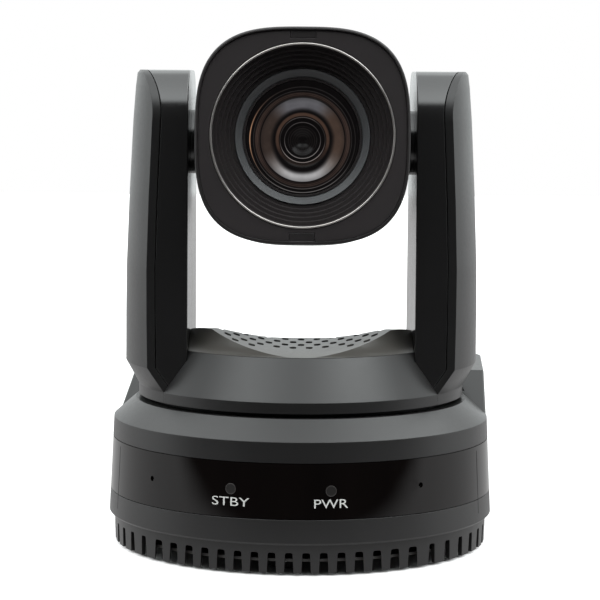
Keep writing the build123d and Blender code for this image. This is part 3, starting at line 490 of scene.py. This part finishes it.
# ------------------------------------------------------------------ window details
# the curved front of the base, which narrows upwards (mm)
DRUM_RADIUS = 84.0
DRUM_BOTTOM = 13.9
DRUM_HEIGHT = 41.3
DRUM_TAPER = 2.0

LED_ANGLE = math.radians(14.4)      # each side of the middle
LED_Z = 35.4
COLLAR_RADIUS = 2.12
COLLAR_TUBE = 0.13                  # half width of the ring's section
COLLAR_HEIGHT = 0.1                 # half height of the ring's section
COLLAR_OUT = 0.02                   # how proud of the window the section's middle is
COLLAR_ARC_RADIUS = 82.9            # turns widths on the window into angles
COLLAR_SEGMENTS, COLLAR_SIDES = 64, 8

SEAM_ANGLES = {"left": math.radians(-63.8), "right": math.radians(71.4)}
SEAM_BOTTOM, SEAM_TOP = 17.6, 44.6
SEAM_WIDTH = 0.45
SEAM_ARC_RADIUS = 83.0
SEAM_STEPS = 24
# place across the width as a share of it, height proud of the window (mm)
SEAM_SECTION = ((-0.5, -0.05), (-0.3, 0.035), (0.3, 0.035), (0.5, -0.05))

LEGEND_ARC_RADIUS = 83.2
LEGEND_Z = 30.2
LEGEND_HEIGHT = 3.6
LEGEND_OUT = 0.07
LEGEND_EDGE = 0.12                  # longer glyph edges are divided, in font units


def drum_point(angle, z, out):
    """Point on the base's curved front: angle from its middle, z mm up, out mm proud."""
    radius = DRUM_RADIUS - (z - DRUM_BOTTOM) * DRUM_TAPER / DRUM_HEIGHT + out
    return (radius * math.sin(angle) / MM_PER_M, -radius * math.cos(angle) / MM_PER_M,
            z / MM_PER_M)


def led_collar(name, middle):
    """Thin ring round an indicator, following the curve of the window."""
    verts, faces = [], []
    for j in range(COLLAR_SEGMENTS):
        around = 2 * math.pi * j / COLLAR_SEGMENTS
        for k in range(COLLAR_SIDES):
            section = 2 * math.pi * k / COLLAR_SIDES
            radius = COLLAR_RADIUS + COLLAR_TUBE * math.cos(section)
            verts.append(drum_point(middle + radius * math.cos(around) / COLLAR_ARC_RADIUS,
                                    LED_Z + radius * math.sin(around),
                                    COLLAR_OUT + COLLAR_HEIGHT * math.sin(section)))
    for j in range(COLLAR_SEGMENTS):
        here = j * COLLAR_SIDES
        there = (j + 1) % COLLAR_SEGMENTS * COLLAR_SIDES
        for k in range(COLLAR_SIDES):
            k_next = (k + 1) % COLLAR_SIDES
            faces.append((here + k, there + k, there + k_next, here + k_next))
    new_piece(name, verts, faces, COLLAR, "base", BASE_PLACE)


def window_seam(name, middle):
    """Narrow filled joint at the end of the window, swept up its height."""
    verts, faces = [], []
    for i in range(SEAM_STEPS + 1):
        z = SEAM_BOTTOM + (SEAM_TOP - SEAM_BOTTOM) * i / SEAM_STEPS
        for share, out in SEAM_SECTION:
            verts.append(drum_point(middle + share * SEAM_WIDTH / SEAM_ARC_RADIUS, z, out))
    row = len(SEAM_SECTION)
    for i in range(SEAM_STEPS):
        for k in range(row - 1):
            corner = i * row + k
            faces.append((corner, corner + 1, corner + row + 1, corner + row))
    new_piece(name, verts, faces, SEAM, "base", BASE_PLACE)


def text_mesh(name, text):
    curve = bpy.data.curves.new(name, "FONT")
    curve.body = text
    curve.align_x = "CENTER"
    curve.align_y = "CENTER"
    curve.resolution_u = 4
    outline = add_object(name + "_outline", curve)
    graph = bpy.context.evaluated_depsgraph_get()
    mesh = bpy.data.meshes.new_from_object(outline.evaluated_get(graph))
    bpy.data.objects.remove(outline)
    bpy.data.curves.remove(curve)
    return mesh


def window_legend(name, text, middle, width):
    """Printed legend: flat glyph outlines wrapped on to the curved window."""
    mesh = text_mesh(name, text)
    bm = bmesh.new()
    bm.from_mesh(mesh)
    bmesh.ops.triangulate(bm, faces=bm.faces)
    long_edges = [edge for edge in bm.edges if edge.calc_length() > LEGEND_EDGE]
    bmesh.ops.subdivide_edges(bm, edges=long_edges, cuts=2)
    xs = [v.co.x for v in bm.verts]
    ys = [v.co.y for v in bm.verts]
    x_min, x_max, y_min, y_max = min(xs), max(xs), min(ys), max(ys)
    for v in bm.verts:
        across = (v.co.x - x_min) / (x_max - x_min) - 0.5
        up = (v.co.y - y_min) / (y_max - y_min) - 0.5
        arc = middle * LEGEND_ARC_RADIUS + across * width
        z = LEGEND_Z + up * LEGEND_HEIGHT
        v.co = BASE_PLACE @ Vector(drum_point(arc / LEGEND_ARC_RADIUS, z, LEGEND_OUT))
    bm.normal_update()
    bm.to_mesh(mesh)
    bm.free()
    mesh.name = name
    piece = add_object(name, mesh)
    piece.data.materials.clear()
    piece.data.materials.append(INK)
    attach(piece, "base")


INK = moulded("legend_ink", color=(0.72, 0.72, 0.70), rough=0.5, grain=1800, edge=0.0,
              bevel=0.0)
COLLAR = moulded("collar_grey", color=(0.045, 0.04, 0.038), rough=0.4, edge=0.0, bevel=0.0)
SEAM = moulded("seam_black", color=(0.003, 0.003, 0.003), rough=0.6, edge=0.0, bevel=0.0,
               spec=0.15)
led_collar("led_collar_left", -LED_ANGLE)
led_collar("led_collar_right", LED_ANGLE)
for side, seam_angle in SEAM_ANGLES.items():
    window_seam("window_seam_" + side, seam_angle)
window_legend("legend_standby", "STBY", middle=-LED_ANGLE, width=16.4)
window_legend("legend_power", "PWR", middle=LED_ANGLE, width=14.0)

# ------------------------------------------------------------------ floor
FLOOR_HALF = 3.0
FLOOR_Z = -0.0002
FLOOR_LIFT = 0.62                       # glow that lifts the floor to white for the camera
FLOOR_DARK, FLOOR_BRIGHT = 0.03, 0.66   # glow seen by other rays, in front and behind
FLOOR_FADE = (-0.30, -0.13)             # y range between the two
# edges of the shaded patch under the base, each from full shade to none
SHADE_ROUND = (0.0782, 0.0808)          # distance from the turning axis
SHADE_REAR_X = (0.0735, 0.0755)         # half width of the squared rear
SHADE_REAR_Y = (0.0375, 0.0395)         # half depth of the squared rear
SHADE_REAR_MIDDLE = 0.038               # y of its middle, in the base's own frame


def base_shade(m, x, y):
    """0 under the base, 1 clear of it: the round body joined with its squared rear."""
    distance = m.calc("SQRT", m.plus(m.times(x, x), m.times(y, y)))
    body = m.remap(distance, span=SHADE_ROUND)
    cos_yaw, sin_yaw = math.cos(BASE_YAW), math.sin(BASE_YAW)
    base_x = m.plus(m.times(x, cos_yaw), m.times(y, sin_yaw))
    base_y = m.calc("SUBTRACT", m.times(y, cos_yaw), m.times(x, sin_yaw))
    clear_x = m.remap(m.calc("ABSOLUTE", base_x), span=SHADE_REAR_X)
    from_middle = m.calc("SUBTRACT", base_y, SHADE_REAR_MIDDLE)
    clear_y = m.remap(m.calc("ABSOLUTE", from_middle), span=SHADE_REAR_Y)
    return m.calc("MINIMUM", body, m.calc("MAXIMUM", clear_x, clear_y))


def floor_pale():
    m = Material("floor_pale")
    m.nodes.remove(m.shader)
    position = m.add("ShaderNodeSeparateXYZ", {0: m.coords}).outputs
    behind = m.remap(position["Y"], span=FLOOR_FADE, curve="SMOOTHSTEP")
    camera_ray = m.add("ShaderNodeLightPath").outputs["Is Camera Ray"]
    shade = base_shade(m, position["X"], position["Y"])

    # the camera sees a pale diffuse floor lifted to white
    diffuse = m.add("ShaderNodeBsdfDiffuse", {"Color": (0.55, 0.55, 0.55, 1)})
    lift = m.add("ShaderNodeEmission", {
        "Color": (1, 1, 1, 1), "Strength": m.times(shade, FLOOR_LIFT)})
    seen = m.add("ShaderNodeAddShader", {0: diffuse.outputs[0], 1: lift.outputs[0]})

    # other rays see a bright sweep behind the object, dark towards the camera
    glow = m.remap(behind, to=(FLOOR_DARK, FLOOR_BRIGHT))
    sweep = m.add("ShaderNodeEmission", {
        "Color": (1.0, 1.0, 1.0, 1), "Strength": m.times(glow, shade)})
    mix = m.add("ShaderNodeMixShader", {
        0: camera_ray, 1: sweep.outputs[0], 2: seen.outputs[0]})
    m.feed(m.output, {"Surface": mix.outputs[0]})
    return m.data


def make_floor():
    mesh = bpy.data.meshes.new("floor")
    bm = bmesh.new()
    bmesh.ops.create_grid(bm, x_segments=1, y_segments=1, size=FLOOR_HALF)
    bm.to_mesh(mesh)
    bm.free()
    floor = add_object("floor", mesh)
    floor.data.materials.append(floor_pale())
    floor.location.z = FLOOR_Z


make_floor()

# ------------------------------------------------------------------ world
# strengths of the surrounding lights
SIDE_BOX = 1.75
RIM_LINE = 4.5
BACK_SWEEP = 1.15
TOP_FRONT, TOP_BACK = 2.9, 0.75
FRONT_FILL = 0.03
TO_DEGREES = 180 / math.pi


def make_world():
    """White to the camera; to other rays, softboxes laid out by direction in degrees."""
    world = bpy.data.worlds.new("studio")
    scene.world = world
    world.use_nodes = True
    g = Graph(world.node_tree)
    g.nodes.clear()
    direction = g.add("ShaderNodeTexCoord").outputs["Generated"]
    x, y, z = g.add("ShaderNodeSeparateXYZ", {0: direction}).outputs
    off_side = g.calc("ABSOLUTE", x)
    # round from the camera: 0 towards it, 180 behind, alike on both sides
    azimuth = g.times(g.calc("ARCTAN2", off_side, g.times(y, -1.0)), TO_DEGREES)
    elevation = g.times(g.calc("ARCSINE", z), TO_DEGREES)
    # over the top: 0 towards the camera, 90 up, 180 behind
    overhead = g.times(g.calc("ARCTAN2", z, g.times(y, -1.0)), TO_DEGREES)

    low = g.band(elevation, rise=(-30, -10), fall=(26, 42))
    side = g.times(g.band(azimuth, rise=(62, 96), fall=(119, 121.5)), SIDE_BOX)
    side = g.times(side, low)

    line = g.times(g.band(azimuth, rise=(44.2, 44.7), fall=(45.2, 45.7)),
                   g.band(elevation, rise=(-40, -25), fall=(30, 45)))
    line = g.times(line, RIM_LINE)

    back = g.times(g.band(azimuth, rise=(124.5, 127), fall=(400, 401)), BACK_SWEEP)
    back = g.times(back, g.band(elevation, rise=(-91, -90), fall=(34, 50)))

    # overhead box: brighter to the right, away from the middle and towards the front
    lean = g.remap(x, to=(0.95, 1.3), span=(-0.6, 0.6))
    spread = g.remap(off_side, to=(0.72, 1.5), span=(0.0, 0.5))
    depth = g.remap(overhead, to=(TOP_FRONT, TOP_BACK), span=(56, 150))
    top = g.times(depth, g.times(lean, spread))
    top = g.times(top, g.band(overhead, rise=(38, 50), fall=(200, 201)))
    top = g.times(top, g.times(g.band(off_side, rise=(-1, -0.9), fall=(0.66, 0.86)),
                               g.band(elevation, rise=(30, 44), fall=(100, 101))))

    fill = g.times(g.band(azimuth, rise=(-1, 0), fall=(58, 66)), FRONT_FILL)
    total = g.plus(g.plus(g.plus(side, line), g.plus(back, top)), fill)

    studio = g.add("ShaderNodeBackground", {"Color": (0.96, 1.0, 1.0, 1), "Strength": total})
    white = g.add("ShaderNodeBackground", {"Color": (1, 1, 1, 1), "Strength": 1.0})
    camera_ray = g.add("ShaderNodeLightPath").outputs["Is Camera Ray"]
    mix = g.add("ShaderNodeMixShader", {
        0: camera_ray, 1: studio.outputs[0], 2: white.outputs[0]})
    g.add("ShaderNodeOutputWorld", {"Surface": mix.outputs[0]})


make_world()

# ------------------------------------------------------------------ camera and view
CAMERA_PLACE = (0, -0.997, 0.202)
CAMERA_PITCH = math.radians(5.53)   # below level
CAMERA_ROLL = math.radians(0.41)
SENSOR_WIDTH = 36.0                 # mm
FOCAL_LENGTH = 136.74               # mm
SHIFT_X = -0.0023333                # share of the sensor width


def make_camera():
    data = bpy.data.cameras.new("camera")
    camera = add_object("camera", data)
    data.sensor_width = SENSOR_WIDTH
    data.lens = FOCAL_LENGTH
    data.shift_x = SHIFT_X
    data.clip_start = 0.05
    data.clip_end = 20.0
    camera.matrix_world = (Matrix.Translation(CAMERA_PLACE)
                           @ Matrix.Rotation(math.pi / 2 - CAMERA_PITCH, 4, "X")
                           @ Matrix.Rotation(CAMERA_ROLL, 4, "Z"))
    scene.camera = camera


make_camera()
scene.view_settings.view_transform = "Standard"
scene.view_settings.look = "None"
scene.view_settings.exposure = 0.0
scene.view_settings.gamma = 1.0
